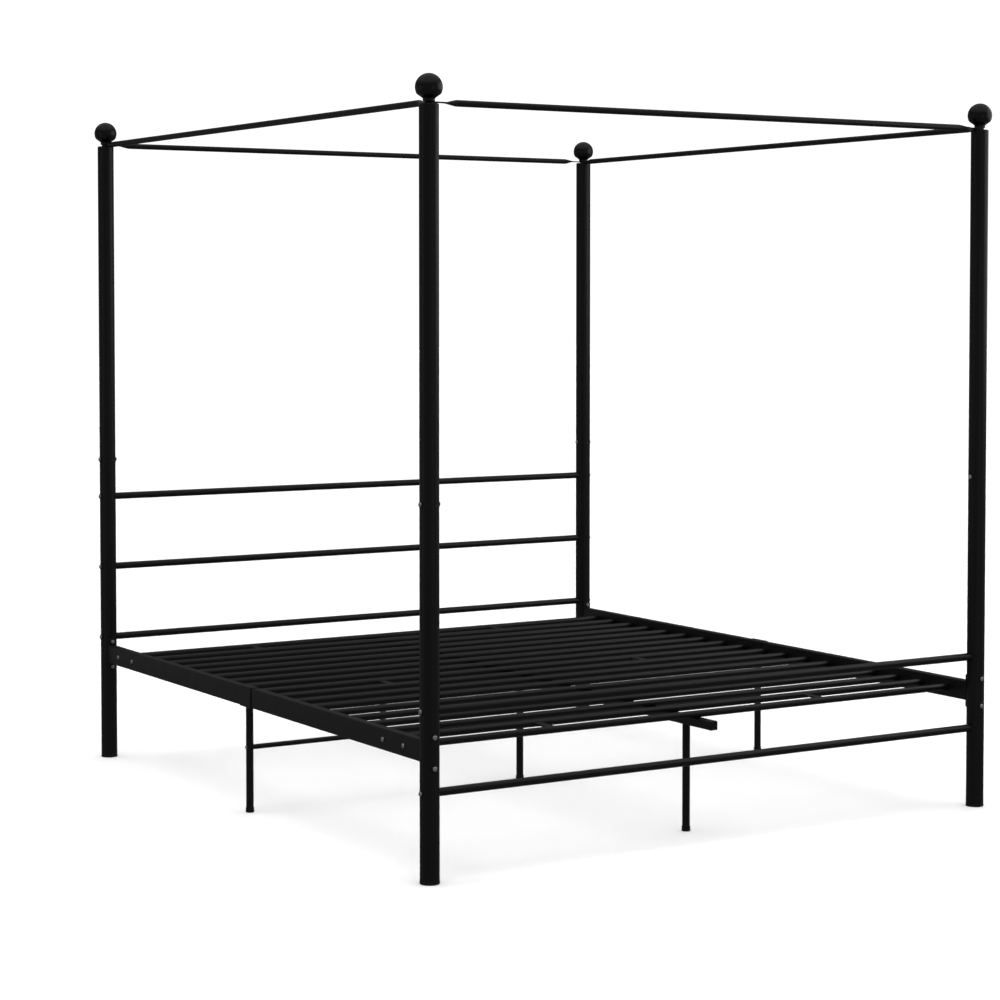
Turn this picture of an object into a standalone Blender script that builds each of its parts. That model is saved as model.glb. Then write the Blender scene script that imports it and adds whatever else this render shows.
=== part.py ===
"""Four poster canopy bed frame in black steel tube, for a mattress of 1.80 by 2.00 m.

Metres, +Z up. The origin is on the floor under the middle of the bed. +Y points to the head end,
and -X is the left side of the bed, seen from its foot. Each tube, bar, slat, leg and glide is one object.
"""

import math

import bmesh
import bpy
from mathutils import Vector

# Overall size: width and length over the posts, height over the finials.
WIDTH = 1.86
LENGTH = 2.08
HEIGHT = 2.01
GAP = 0.0003
WALL = 0.0012

POST_RADIUS = 0.025
POST_WALL = 0.0015
POST_X = WIDTH / 2 - POST_RADIUS
POST_Y = LENGTH / 2 - POST_RADIUS
POST_TOP = 1.935
POST_JOINT_Z = 0.947
SPIGOT_LENGTH = 0.07
TOP_PLATE = 0.003

BALL_RADIUS = 0.0346
BALL_Z = HEIGHT - BALL_RADIUS
BALL_CONE_DROP = 0.017
NECK_RADIUS = 0.0153
NECK_HEIGHT = 0.0075
STUD_RADIUS = 0.004
STUD_LENGTH = 0.02
STUD_CLEARANCE = 0.0006

ROD_RADIUS = 0.0085
ROD_WALL = 0.001
ROD_Z = 1.9386
TONGUE_HALF = 0.0011
TONGUE_SLIT = 0.00015
TONGUE_TIP = 0.0115
# Where each rod's pressed end starts to swell and where it is round, measured from the post's axis.
END_ROD_TAPER = (0.045, 0.082)
SIDE_ROD_TAPER = (0.026, 0.048)
TAPER_SHARES = (0.35, 0.7, 1)

BAR_RADIUS = 0.0107
HEAD_BAR_HEIGHTS = {"top": 0.830, "middle": 0.607, "bottom": 0.383}
FOOT_BAR_HEIGHTS = {"top": 0.432, "bottom": 0.227}

RAIL_WIDTH = 0.025
RAIL_HEIGHT = 0.056
RAIL_Z = 0.330
RAIL_WALL = 0.0015
RAIL_CORNER = 0.003
SLEEVE_LENGTH = 0.07
SLEEVE_WALL = 0.0017
PLATE_WIDTH = 0.026
PLATE_HEIGHT = 0.096
PLATE_THICKNESS = 0.003
PLATE_CORNER = 0.006
PLATE_BITE = 0.001

SLAT_COUNT = 18
SLAT_PITCH = 0.1066
SLAT_RADIUS = 0.0097
LINK_WIDTH = 0.024
LINK_HEIGHT = 0.005
LINK_CORNER = 0.00125
LINK_BITE = 0.0008

BEAM_SIDE = 0.025
BEAM_LENGTH = 1.954
LEG_RADIUS = 0.0106
STRETCHER_RADIUS = 0.0072
STRETCHER_Z = 0.1855

EDGE_CHAMFER = 0.0008
POST_GLIDE_RADIUS = 0.0255
POST_GLIDE_HEIGHT = 0.0073
POST_GLIDE_PLUG = 0.018
LEG_GLIDE_RADIUS = 0.0119
LEG_GLIDE_HEIGHT = 0.014
LEG_GLIDE_FLOOR = 0.0025

POST_SIDES = 24
BALL_LOWER_STEPS = 3
BALL_UPPER_STEPS = 6
BAR_SIDES = 16
TUBE_SIDES = 12
CORNER_STEPS = 2
SMOOTH_ANGLE = math.radians(35)

# Turns a mesh built along local Z so that it runs along the bed's X or Y, with local Y kept vertical.
ALONG_X = (math.pi / 2, 0, math.pi / 2)
ALONG_Y = (math.pi / 2, 0, math.pi)
ALONG_MINUS_Y = (math.pi / 2, 0, 0)

SIDES = {"left": -1, "right": 1}
ENDS = {"foot": -1, "head": 1}


def clear_scene():
    for obj in list(bpy.data.objects):
        bpy.data.objects.remove(obj, do_unlink=True)


def principled(name, color, roughness, metallic):
    material = bpy.data.materials.new(name)
    material.use_nodes = True
    shader = material.node_tree.nodes["Principled BSDF"]
    shader.inputs["Base Color"].default_value = (*color, 1)
    shader.inputs["Roughness"].default_value = roughness
    shader.inputs["Metallic"].default_value = metallic
    return material


def place(name, mesh, material, location, rotation=(0, 0, 0)):
    obj = bpy.data.objects.new(name, mesh)
    obj.location = location
    obj.rotation_euler = rotation
    if not mesh.materials:
        mesh.materials.append(material)
    bpy.context.scene.collection.objects.link(obj)
    return obj


def loft(name, rings, hollow=False, apex=None):
    """A closed mesh through rings of equal length. A hollow one joins its last ring to its first."""
    bm = bmesh.new()
    rows = [[bm.verts.new(point) for point in ring] for ring in rings]
    pairs = list(zip(rows, rows[1:]))
    if hollow:
        pairs.append((rows[-1], rows[0]))
    else:
        bm.faces.new(rows[0])
    if not hollow and apex is None:
        bm.faces.new(rows[-1])
    for first, second in pairs:
        for k in range(len(first)):
            after = (k + 1) % len(first)
            bm.faces.new((first[k], first[after], second[after], second[k]))
    if apex is not None:
        tip = bm.verts.new(apex)
        for k in range(len(rows[-1])):
            bm.faces.new((rows[-1][k], rows[-1][(k + 1) % len(rows[-1])], tip))
    bmesh.ops.recalc_face_normals(bm, faces=bm.faces)
    mesh = bpy.data.meshes.new(name)
    bm.to_mesh(mesh)
    bm.free()
    mesh.shade_smooth()
    mesh.set_sharp_from_angle(angle=SMOOTH_ANGLE)
    return mesh


def circle(radius, z, sides, phase=0.0):
    angles = [phase + 2 * math.pi * k / sides for k in range(sides)]
    return [Vector((radius * math.cos(angle), radius * math.sin(angle), z)) for angle in angles]


def turned(profile, sides):
    return [circle(radius, z, sides) for radius, z in profile]


def rounded_rectangle(width, height, corner, z):
    ring = []
    for quarter in range(4):
        middle_x = (width / 2 - corner) * (1 if quarter in (0, 3) else -1)
        middle_y = (height / 2 - corner) * (1 if quarter in (0, 1) else -1)
        for step in range(CORNER_STEPS + 1):
            angle = math.pi / 2 * (quarter + step / CORNER_STEPS)
            x = middle_x + corner * math.cos(angle)
            y = middle_y + corner * math.sin(angle)
            ring.append(Vector((x, y, z)))
    return ring


def tube(name, radius, low, high, sides, wall=WALL):
    inner = radius - wall
    return loft(name, turned([(radius, low), (radius, high), (inner, high), (inner, low)], sides), True)


def rectangular_tube(name, width, height, wall, corner, low, high):
    inside = (width - 2 * wall, height - 2 * wall, corner - wall)
    rings = [rounded_rectangle(width, height, corner, z) for z in (low, high)]
    rings += [rounded_rectangle(*inside, z) for z in (high, low)]
    return loft(name, rings, True)


def combined(name, base, others, operation):
    """The mesh that is left when the other meshes are joined to the base or cut out of it."""
    base_object = bpy.data.objects.new(name, base)
    bpy.context.scene.collection.objects.link(base_object)
    helpers = []
    for number, other in enumerate(others):
        helper = bpy.data.objects.new(f"{name}_helper_{number}", other)
        helper.hide_render = True
        helper.display_type = "WIRE"
        bpy.context.scene.collection.objects.link(helper)
        modifier = base_object.modifiers.new(operation.title(), "BOOLEAN")
        modifier.operation = operation
        modifier.object = helper
        helpers.append(helper)
    graph = bpy.context.evaluated_depsgraph_get()
    mesh = bpy.data.meshes.new_from_object(base_object.evaluated_get(graph))
    mesh.name = name
    mesh.shade_smooth()
    mesh.set_sharp_from_angle(angle=SMOOTH_ANGLE)
    for obj in [base_object, *helpers]:
        bpy.data.objects.remove(obj)
    return mesh


def coped_ring(radius, middle, neighbour_radius, direction, sides):
    """The end of a round bar, cut to sit against a vertical tube whose axis is at local z = middle."""
    ring = circle(radius, middle, sides)
    reach = neighbour_radius + GAP
    for point in ring:
        point.z -= direction * math.sqrt(reach**2 - point.x**2)
    return ring


def coped_bar(name, radius, span, neighbour_radius, sides):
    """A round tube between two vertical tubes whose axes are span apart."""
    inner = radius - WALL
    ends = ((-span / 2, -1), (span / 2, 1))
    outer_rings = [coped_ring(radius, middle, neighbour_radius, way, sides) for middle, way in ends]
    inner_rings = [coped_ring(inner, middle, neighbour_radius, way, sides) for middle, way in reversed(ends)]
    return loft(name, outer_rings + inner_rings, True)


def make_post_sections(coat):
    """Each post is a plain lower tube and an upper tube whose reduced spigot slides into it."""
    glide_top = POST_GLIDE_HEIGHT + GAP
    lower = tube("lower_post", POST_RADIUS, glide_top, POST_JOINT_Z, POST_SIDES, POST_WALL)
    bore = POST_RADIUS - POST_WALL
    spigot = bore - GAP
    hole = STUD_RADIUS + STUD_CLEARANCE
    shoulder = POST_JOINT_Z + GAP
    profile = [
        (POST_RADIUS, POST_TOP - EDGE_CHAMFER),
        (POST_RADIUS, shoulder),
        (spigot, shoulder),
        (spigot, POST_JOINT_Z - SPIGOT_LENGTH),
        (spigot - POST_WALL, POST_JOINT_Z - SPIGOT_LENGTH),
        (spigot - POST_WALL, POST_TOP - TOP_PLATE),
        (hole, POST_TOP - TOP_PLATE),
        (hole, POST_TOP),
        (POST_RADIUS - EDGE_CHAMFER, POST_TOP),
    ]
    upper = loft("upper_post", turned(profile, POST_SIDES), True)
    for end, y_sign in ENDS.items():
        for side, x_sign in SIDES.items():
            location = (x_sign * POST_X, y_sign * POST_Y, 0)
            place(f"lower_post_{end}_{side}", lower, coat, location)
            place(f"upper_post_{end}_{side}", upper, coat, location)


def make_finials(coat):
    """A ball on a short neck, with a stud that passes through both rod ends into the post's top plate."""
    tongue = 2 * TONGUE_HALF
    neck_bottom = POST_TOP + 2 * tongue + 3 * GAP
    cone_angle = -math.asin(BALL_CONE_DROP / BALL_RADIUS)
    profile = [
        (STUD_RADIUS, neck_bottom - STUD_LENGTH),
        (STUD_RADIUS, neck_bottom),
        (NECK_RADIUS, neck_bottom),
        (NECK_RADIUS, neck_bottom + NECK_HEIGHT),
    ]
    latitudes = [cone_angle * (1 - step / BALL_LOWER_STEPS) for step in range(BALL_LOWER_STEPS)]
    latitudes += [math.pi / 2 * step / BALL_UPPER_STEPS for step in range(BALL_UPPER_STEPS)]
    for latitude in latitudes:
        profile.append((BALL_RADIUS * math.cos(latitude), BALL_Z + BALL_RADIUS * math.sin(latitude)))
    ball = loft("finial", turned(profile, POST_SIDES), apex=(0, 0, HEIGHT))
    for end, y_sign in ENDS.items():
        for side, x_sign in SIDES.items():
            place(f"finial_{end}_{side}", ball, coat, (x_sign * POST_X, y_sign * POST_Y, 0))


def pressed_ring(radius, half_height, lift, z, sides):
    """A tube's outline pressed flat to half_height at its full girth: two flats and two round edges."""
    flat = math.pi * (radius - half_height) / 2
    edge = math.pi * half_height
    girth = 2 * math.pi * radius
    ring = []
    for k in range(sides):
        run = girth * (k + 0.5) / sides
        side = 1 if run < girth / 2 else -1
        run = run % (girth / 2)
        if run < flat:
            x, y = run, half_height
        elif run < flat + edge:
            angle = (run - flat) / half_height
            x, y = flat + half_height * math.sin(angle), half_height * math.cos(angle)
        else:
            x, y = 2 * flat + edge - run, -half_height
        ring.append(Vector((side * x, side * y + lift, z)))
    return ring


def rod_wall_rings(radius, pressed_half, lift, half_span, taper):
    """Rings from one pressed end to the other: tip, flat, two swelling steps and round."""
    start, finish = taper
    stations = [(-TONGUE_TIP, 0), (start, 0)]
    stations += [(start + (finish - start) * share, share) for share in TAPER_SHARES]
    width = math.pi * (radius - pressed_half) / 2 + pressed_half
    rings = []
    for inset, share in stations:
        swell = share * share * (3 - 2 * share)
        half_height = pressed_half + (radius - pressed_half) * swell
        ring = pressed_ring(radius, half_height, lift * (1 - swell), inset - half_span, TUBE_SIDES)
        if inset < 0:
            for point in ring:
                point.z += width - math.sqrt(max(width**2 - point.x**2, 0))
        rings.append(ring)
    mirrored = [[Vector((point.x, point.y, -point.z)) for point in ring] for ring in reversed(rings)]
    return rings + mirrored


def canopy_rod_mesh(name, half_span, lift, taper):
    """A round tube with pressed ends that lie on the post tops, each with a hole for the finial's stud."""
    outer = rod_wall_rings(ROD_RADIUS, TONGUE_HALF, lift, half_span, taper)
    inner = rod_wall_rings(ROD_RADIUS - ROD_WALL, TONGUE_SLIT, lift, half_span, taper)
    rod = loft(name, outer + inner[::-1], True)
    cutters = []
    for sign in (-1, 1):
        ring = circle(STUD_RADIUS + STUD_CLEARANCE, 0, TUBE_SIDES, math.pi / TUBE_SIDES)
        low, high = (
            [Vector((point.x, height, sign * half_span + point.y)) for point in ring]
            for height in (-2 * ROD_RADIUS, 2 * ROD_RADIUS)
        )
        cutters.append(loft(f"{name}_stud_hole", [low, high]))
    return combined(name, rod, cutters, "DIFFERENCE")


def make_canopy_rods(coat):
    """Four rods on the post tops. The side rods' ends lie underneath, the end rods' ends on top."""
    lower_lift = POST_TOP + GAP + TONGUE_HALF - ROD_Z
    upper_lift = lower_lift + 2 * TONGUE_HALF + GAP
    side_rod = canopy_rod_mesh("canopy_rod_side", POST_Y, lower_lift, SIDE_ROD_TAPER)
    end_rod = canopy_rod_mesh("canopy_rod_end", POST_X, upper_lift, END_ROD_TAPER)
    for side, x_sign in SIDES.items():
        place(f"canopy_rod_{side}", side_rod, coat, (x_sign * POST_X, 0, ROD_Z), ALONG_Y)
    for end, y_sign in ENDS.items():
        place(f"canopy_rod_{end}", end_rod, coat, (0, y_sign * POST_Y, ROD_Z), ALONG_X)


def make_end_bars(coat):
    """Three bars between the head posts and two between the foot posts."""
    bar = coped_bar("end_bar", BAR_RADIUS, 2 * POST_X, POST_RADIUS, BAR_SIDES)
    for label, height in HEAD_BAR_HEIGHTS.items():
        place(f"head_bar_{label}", bar, coat, (0, POST_Y, height), ALONG_X)
    for label, height in FOOT_BAR_HEIGHTS.items():
        place(f"foot_bar_{label}", bar, coat, (0, -POST_Y, height), ALONG_X)


def make_side_rails(coat):
    """Each side rail is two box tubes that meet inside a sleeve, each with a plate welded to its post end."""
    plate_face = POST_Y - POST_RADIUS - GAP
    plate_back = plate_face - PLATE_THICKNESS
    rail = rectangular_tube(
        "rail_tube", RAIL_WIDTH, RAIL_HEIGHT, RAIL_WALL, RAIL_CORNER, GAP / 2, plate_back + PLATE_BITE
    )
    plate_rings = [
        rounded_rectangle(PLATE_WIDTH, PLATE_HEIGHT, PLATE_CORNER, z) for z in (plate_back, plate_face)
    ]
    half = combined("side_rail", rail, [loft("rail_plate", plate_rings)], "UNION")
    inside_width = RAIL_WIDTH + 2 * GAP
    inside_height = RAIL_HEIGHT + 2 * GAP
    sleeve = rectangular_tube(
        "rail_sleeve",
        inside_width + 2 * SLEEVE_WALL,
        inside_height + 2 * SLEEVE_WALL,
        SLEEVE_WALL,
        RAIL_CORNER + SLEEVE_WALL,
        -SLEEVE_LENGTH / 2,
        SLEEVE_LENGTH / 2,
    )
    for side, x_sign in SIDES.items():
        location = (x_sign * POST_X, 0, RAIL_Z)
        place(f"side_rail_{side}_head", half, coat, location, ALONG_Y)
        place(f"side_rail_{side}_foot", half, coat, location, ALONG_MINUS_Y)
        place(f"rail_sleeve_{side}", sleeve, coat, location, ALONG_Y)


def slat_length():
    return 2 * (POST_X - RAIL_WIDTH / 2 - GAP)


def slat_pair_mesh():
    """Two neighbouring slats with two flat links welded between them."""
    half = slat_length() / 2
    slats = []
    for sign in (-1, 1):
        slat = tube("pair_slat", SLAT_RADIUS, -half, half, TUBE_SIDES)
        for vertex in slat.vertices:
            vertex.co.x += sign * SLAT_PITCH / 2
        slats.append(slat)
    reach = SLAT_PITCH / 2 - SLAT_RADIUS + LINK_BITE
    links = []
    for sign in (-1, 1):
        middle = sign * POST_X / 2
        rings = [
            rounded_rectangle(2 * reach, LINK_HEIGHT, LINK_CORNER, middle + edge * LINK_WIDTH / 2)
            for edge in (-1, 1)
        ]
        links.append(loft("slat_link", rings))
    return combined("slat_pair", slats[0], links + slats[1:], "UNION")


def make_slats(coat):
    """Eighteen round slats. The two at each end and the two in the middle are welded pairs."""
    half = slat_length() / 2
    single = tube("slat", SLAT_RADIUS, -half, half, TUBE_SIDES)
    pair = slat_pair_mesh()
    pair_starts = {0: "foot", SLAT_COUNT // 2 - 1: "middle", SLAT_COUNT - 2: "head"}
    number = 0
    while number < SLAT_COUNT:
        y = (number - (SLAT_COUNT - 1) / 2) * SLAT_PITCH
        if number in pair_starts:
            name = f"slat_pair_{pair_starts[number]}"
            place(name, pair, coat, (0, y + SLAT_PITCH / 2, RAIL_Z), ALONG_X)
            number += 2
        else:
            place(f"slat_{number + 1:02d}", single, coat, (0, y, RAIL_Z), ALONG_X)
            number += 1


def beam_height():
    return RAIL_Z - SLAT_RADIUS - GAP - BEAM_SIDE / 2


def leg_places():
    """Where each leg stands, and the height of the underside that it carries."""
    beam_bottom = beam_height() - BEAM_SIDE / 2
    sleeve_bottom = RAIL_Z - RAIL_HEIGHT / 2 - GAP - SLEEVE_WALL
    outer_leg = (SLAT_COUNT / 2 - 1) * SLAT_PITCH
    return {
        "side_leg_left": (-POST_X, 0, sleeve_bottom),
        "side_leg_right": (POST_X, 0, sleeve_bottom),
        "centre_leg_foot": (0, -outer_leg, beam_bottom),
        "centre_leg_middle": (0, 0, beam_bottom),
        "centre_leg_head": (0, outer_leg, beam_bottom),
    }


def make_centre_support(coat):
    """A square beam under the middle of the slats, five legs, and two stretchers between the middle legs."""
    beam = rectangular_tube(
        "centre_beam", BEAM_SIDE, BEAM_SIDE, RAIL_WALL, RAIL_CORNER, -BEAM_LENGTH / 2, BEAM_LENGTH / 2
    )
    place("centre_beam", beam, coat, (0, 0, beam_height()), ALONG_Y)
    for name, (x, y, top) in leg_places().items():
        leg = tube(name, LEG_RADIUS, LEG_GLIDE_FLOOR + GAP, top - GAP, TUBE_SIDES)
        place(name, leg, coat, (x, y, 0))
    stretcher = coped_bar("stretcher", STRETCHER_RADIUS, POST_X, LEG_RADIUS, TUBE_SIDES)
    for side, x_sign in SIDES.items():
        place(f"stretcher_{side}", stretcher, coat, (x_sign * POST_X / 2, 0, STRETCHER_Z), ALONG_X)


def make_glides(plastic):
    """A plug with a flange under each post, and a cup round the bottom of each leg."""
    plug = POST_RADIUS - POST_WALL - GAP
    plug_profile = [
        (POST_GLIDE_RADIUS - EDGE_CHAMFER, 0),
        (POST_GLIDE_RADIUS, EDGE_CHAMFER),
        (POST_GLIDE_RADIUS, POST_GLIDE_HEIGHT),
        (plug, POST_GLIDE_HEIGHT),
        (plug, POST_GLIDE_HEIGHT + POST_GLIDE_PLUG),
    ]
    post_glide = loft("post_glide", turned(plug_profile, POST_SIDES))
    for end, y_sign in ENDS.items():
        for side, x_sign in SIDES.items():
            place(f"post_glide_{end}_{side}", post_glide, plastic, (x_sign * POST_X, y_sign * POST_Y, 0))
    cup = LEG_RADIUS + GAP
    cup_profile = [
        (LEG_GLIDE_RADIUS, 0),
        (LEG_GLIDE_RADIUS, LEG_GLIDE_HEIGHT),
        (cup, LEG_GLIDE_HEIGHT),
        (cup, LEG_GLIDE_FLOOR),
    ]
    leg_glide = loft("leg_glide", turned(cup_profile, TUBE_SIDES))
    for name, (x, y, _) in leg_places().items():
        place(f"{name}_glide", leg_glide, plastic, (x, y, 0))


def main():
    clear_scene()
    coat = principled("black_powder_coat", (0.012, 0.012, 0.013), 0.42, 0.0)
    plastic = principled("black_glide_plastic", (0.008, 0.008, 0.008), 0.6, 0.0)
    make_post_sections(coat)
    make_finials(coat)
    make_canopy_rods(coat)
    make_end_bars(coat)
    make_side_rails(coat)
    make_slats(coat)
    make_centre_support(coat)
    make_glides(plastic)


main()
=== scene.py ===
"""Looks for the four poster canopy bed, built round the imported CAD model.

Metres, +Z up. The origin is on the floor under the middle of the bed, and +Y points to the head end.
Every tube, rail, slat, leg, glide and finial is a smooth, detailed piece that stands for its CAD node.
Screws, bolts, nuts, washers, weld beads and end plugs are added to them.
"""

import math

import bmesh
import bpy
from mathutils import Matrix, Vector


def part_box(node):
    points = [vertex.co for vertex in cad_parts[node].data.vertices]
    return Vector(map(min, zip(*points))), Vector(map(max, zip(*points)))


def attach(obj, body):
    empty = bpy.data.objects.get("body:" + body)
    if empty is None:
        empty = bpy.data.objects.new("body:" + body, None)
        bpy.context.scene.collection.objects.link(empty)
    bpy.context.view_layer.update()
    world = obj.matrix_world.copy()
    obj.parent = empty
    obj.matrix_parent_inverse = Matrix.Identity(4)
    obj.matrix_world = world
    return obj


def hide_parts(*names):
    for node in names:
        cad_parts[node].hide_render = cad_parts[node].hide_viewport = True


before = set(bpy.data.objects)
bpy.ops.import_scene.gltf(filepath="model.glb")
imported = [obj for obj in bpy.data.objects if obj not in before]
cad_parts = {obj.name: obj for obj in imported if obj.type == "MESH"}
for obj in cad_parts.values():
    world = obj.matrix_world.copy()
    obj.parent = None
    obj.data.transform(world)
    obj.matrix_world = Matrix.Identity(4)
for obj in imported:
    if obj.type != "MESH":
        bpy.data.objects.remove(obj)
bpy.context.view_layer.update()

GAP = 0.0003
ROUND_SIDES = 64
BAR_SIDES = 40
SMALL_SIDES = 32
BALL_STEPS = 40
CORNER_STEPS = 6
SHARP_ANGLE = math.radians(40)

WALL = 0.0012
POST_WALL = 0.0015
POST_SHOULDER = 0.0028
SHOULDER_FLAT = 0.002
SHOULDER_STEPS = 6
EDGE = 0.0005
SPIGOT_LENGTH = 0.07
SPIGOT_LEAD = 0.002
SPIGOT_LEAD_DEPTH = 0.0008
TOP_PLATE = 0.003
STUD_RADIUS = 0.004
STUD_CLEARANCE = 0.0006
BALL_CONE_DROP = 0.017
NECK_RADIUS = 0.0153
NECK_HEIGHT = 0.0075
NECK_BOTTOM_ABOVE_POST = 0.0053
NECK_BLEND = 0.0012
CONE_RISE = 0.0011
CONE_STEPS = 7
RIM_ANGLE = 0.03
STUD_TIP = 0.0006
POLE_RADIUS = 0.0006
POLE_DROP = 0.00001

TONGUE_HALF = 0.0011
TONGUE_SLIT = 0.00015
TONGUE_TIP = 0.0115
TONGUE_EDGE = 0.0008
TONGUE_EDGE_SHARE = 0.7
ROD_RADIUS = 0.0085
ROD_WALL = 0.001
END_ROD_TAPER = (0.045, 0.082)
SIDE_ROD_TAPER = (0.026, 0.048)
TAPER_STEPS = 14

RAIL_WALL = 0.0015
RAIL_CORNER = 0.003
SMALLEST_CORNER = 0.0008
PLATE_THICKNESS = 0.003
PLATE_CORNER = 0.006
PLATE_BOLT_OFFSET = 0.039
SLEEVE_WALL = 0.0017
LINK_WIDTH = 0.024
LINK_HEIGHT = 0.005
LINK_CORNER = 0.00125
LINK_BITE = 0.0008
PLATE_BEAD_RADIUS = 0.0019
LINK_BEAD_RADIUS = 0.0012
LINK_BEAD_OFFSET = 0.0002
BEAD_PITCH = 0.0042
BEAD_STEPS = 6
BEAD_SIDES = 10
BEAD_RIPPLE = 0.13
BEAD_UNEVENNESS = 0.06
BEAD_DRIFT = 0.9

POST_GLIDE_PLUG = 0.018
LEG_GLIDE_FLOOR = 0.0025
PLUG_LENGTH = 0.012
PLUG_LEAD = 0.001
SMALLEST_PLUG_CORNER = 0.001
# How much narrower than the tube each ring of a plug's rim is, and how far it stands out of the tube's end.
PLUG_RIM = ((0.0006, GAP), (0.0002, 0.0008), (0.0014, 0.0019), (0.005, 0.0024))
# How much smaller than the outer radius each ring of a glide's foot is, and its height above the floor.
POST_GLIDE_FOOT = ((0.0030, 0.0), (0.0012, 0.0004), (0.0004, 0.0013), (0.0, 0.0026))
LEG_GLIDE_FOOT = (
    (0.0022, 0.0), (0.0008, 0.0005), (0.0, 0.0018), (0.0, 0.004), (0.0004, 0.0046), (0.0, 0.0052),
)
GLIDE_EDGE = 0.0006
GLIDE_RIBS = 4
RIB_DEPTH = 0.0008
RIB_RISE = 0.0012
RIB_MARGIN = 0.0015
PLUG_TAPER = 0.0022

WEAR_WIDTH = 0.0035

ALONG_X = Matrix(((0, 0, 1), (1, 0, 0), (0, 1, 0))).to_4x4()
ALONG_Y = Matrix(((-1, 0, 0), (0, 0, 1), (0, 1, 0))).to_4x4()
UPRIGHT = Matrix.Identity(4)

SIDES = {"left": -1, "right": 1}
ENDS = {"foot": -1, "head": 1}
CAD_NODES = sorted(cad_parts)


# ---------------------------------------------------------------- places read from the frame

def middle(node):
    low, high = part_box(node)
    return (low + high) / 2


def size(node):
    low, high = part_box(node)
    return high - low


POST_RADIUS = size("lower_post_foot_left").x / 2
POST_X = middle("lower_post_foot_right").x
POST_Y = middle("lower_post_head_left").y
JOINT_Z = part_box("lower_post_foot_left")[1].z
POST_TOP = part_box("upper_post_foot_left")[1].z
RAIL_Z = middle("rail_sleeve_left").z
RAIL_LOW, RAIL_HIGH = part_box("side_rail_left_foot")
SLEEVE_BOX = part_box("rail_sleeve_left")
RAIL_WIDTH = SLEEVE_BOX[1].x - SLEEVE_BOX[0].x - 2 * SLEEVE_WALL - 2 * GAP
RAIL_HEIGHT = SLEEVE_BOX[1].z - SLEEVE_BOX[0].z - 2 * SLEEVE_WALL - 2 * GAP
PLATE_WIDTH = RAIL_HIGH.x - RAIL_LOW.x
PLATE_HEIGHT = RAIL_HIGH.z - RAIL_LOW.z
SLAT_RADIUS = size("slat_05").z / 2
SLAT_HALF = size("slat_05").x / 2


# ---------------------------------------------------------------- mesh building

def circle(radius, z, sides=ROUND_SIDES):
    turn = 2 * math.pi / sides
    return [Vector((radius * math.cos(k * turn), radius * math.sin(k * turn), z)) for k in range(sides)]


def rounded_rectangle(width, height, corner, z, steps=CORNER_STEPS):
    ring = []
    for quarter in range(4):
        middle_x = (width / 2 - corner) * (1 if quarter in (0, 3) else -1)
        middle_y = (height / 2 - corner) * (1 if quarter in (0, 1) else -1)
        for step in range(steps + 1):
            angle = math.pi / 2 * (quarter + step / steps)
            ring.append(Vector((middle_x + corner * math.cos(angle), middle_y + corner * math.sin(angle), z)))
    return ring


class Builder:
    """Collects closed shells, each a stack of rings, and makes one mesh with a wear value at each point."""

    def __init__(self):
        self.bm = bmesh.new()
        self.wear = self.bm.verts.layers.float.new("wear")

    def shell(self, rings, wear=None, loop=False, frame_matrix=UPRIGHT):
        """Joins each ring to the next. A loop also joins the last to the first, else both ends are closed."""
        wear = wear or [0.0] * len(rings)
        rows = []
        for ring, amount in zip(rings, wear):
            row = []
            for point in ring:
                vertex = self.bm.verts.new(frame_matrix @ point)
                vertex[self.wear] = amount
                row.append(vertex)
            rows.append(row)
        faces = []
        pairs = list(zip(rows, rows[1:]))
        if loop:
            pairs.append((rows[-1], rows[0]))
        for first, second in pairs:
            for k in range(len(first)):
                after = (k + 1) % len(first)
                faces.append(self.bm.faces.new((first[k], first[after], second[after], second[k])))
        if not loop:
            for row in (rows[0], rows[-1]):
                centre = sum((v.co for v in row), Vector()) / len(row)
                tip = self.bm.verts.new(centre)
                tip[self.wear] = 0.0
                for k in range(len(row)):
                    faces.append(self.bm.faces.new((row[k], row[(k + 1) % len(row)], tip)))
        bmesh.ops.recalc_face_normals(self.bm, faces=faces)

    def mesh(self, name):
        mesh = bpy.data.meshes.new(name)
        self.bm.to_mesh(mesh)
        self.bm.free()
        mesh.shade_smooth()
        mesh.set_sharp_from_angle(angle=SHARP_ANGLE)
        return mesh


def piece(name, builder, material, slot, *nodes):
    mesh = builder.mesh(name)
    mesh.materials.append(material)
    obj = bpy.data.objects.new(name, mesh)
    bpy.context.scene.collection.objects.link(obj)
    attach(obj, "root")
    if nodes:
        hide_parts(*nodes)


def at(x, y, z, turn=UPRIGHT):
    return Matrix.Translation((x, y, z)) @ turn


def tube_rings(outline, inner_outline, low, high, edge=EDGE):
    """Rings of a tube with slightly rounded ends. outline(inset, z) gives a ring that far inside the surface.

    inner_outline(z) gives a ring of the inside wall.
    """
    step = 0.3 * edge
    outside = [
        (edge, low, 1.0), (step, low + step, 1.0), (0, low + edge, 0.8), (0, low + WEAR_WIDTH, 0.0),
        (0, high - WEAR_WIDTH, 0.0), (0, high - edge, 0.8), (step, high - step, 1.0), (edge, high, 1.0),
    ]
    rings = [outline(inset, z) for inset, z, _ in outside]
    wear = [amount for _, _, amount in outside]
    rings += [inner_outline(high), inner_outline(low)]
    return rings, wear + [0.2, 0.2]


def round_tube(builder, radius, low, high, wall, sides, matrix):
    rings, wear = tube_rings(
        lambda inset, z: circle(radius - inset, z, sides),
        lambda z: circle(radius - wall, z, sides),
        low, high, min(EDGE, 0.45 * wall),
    )
    builder.shell(rings, wear, True, matrix)


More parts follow.
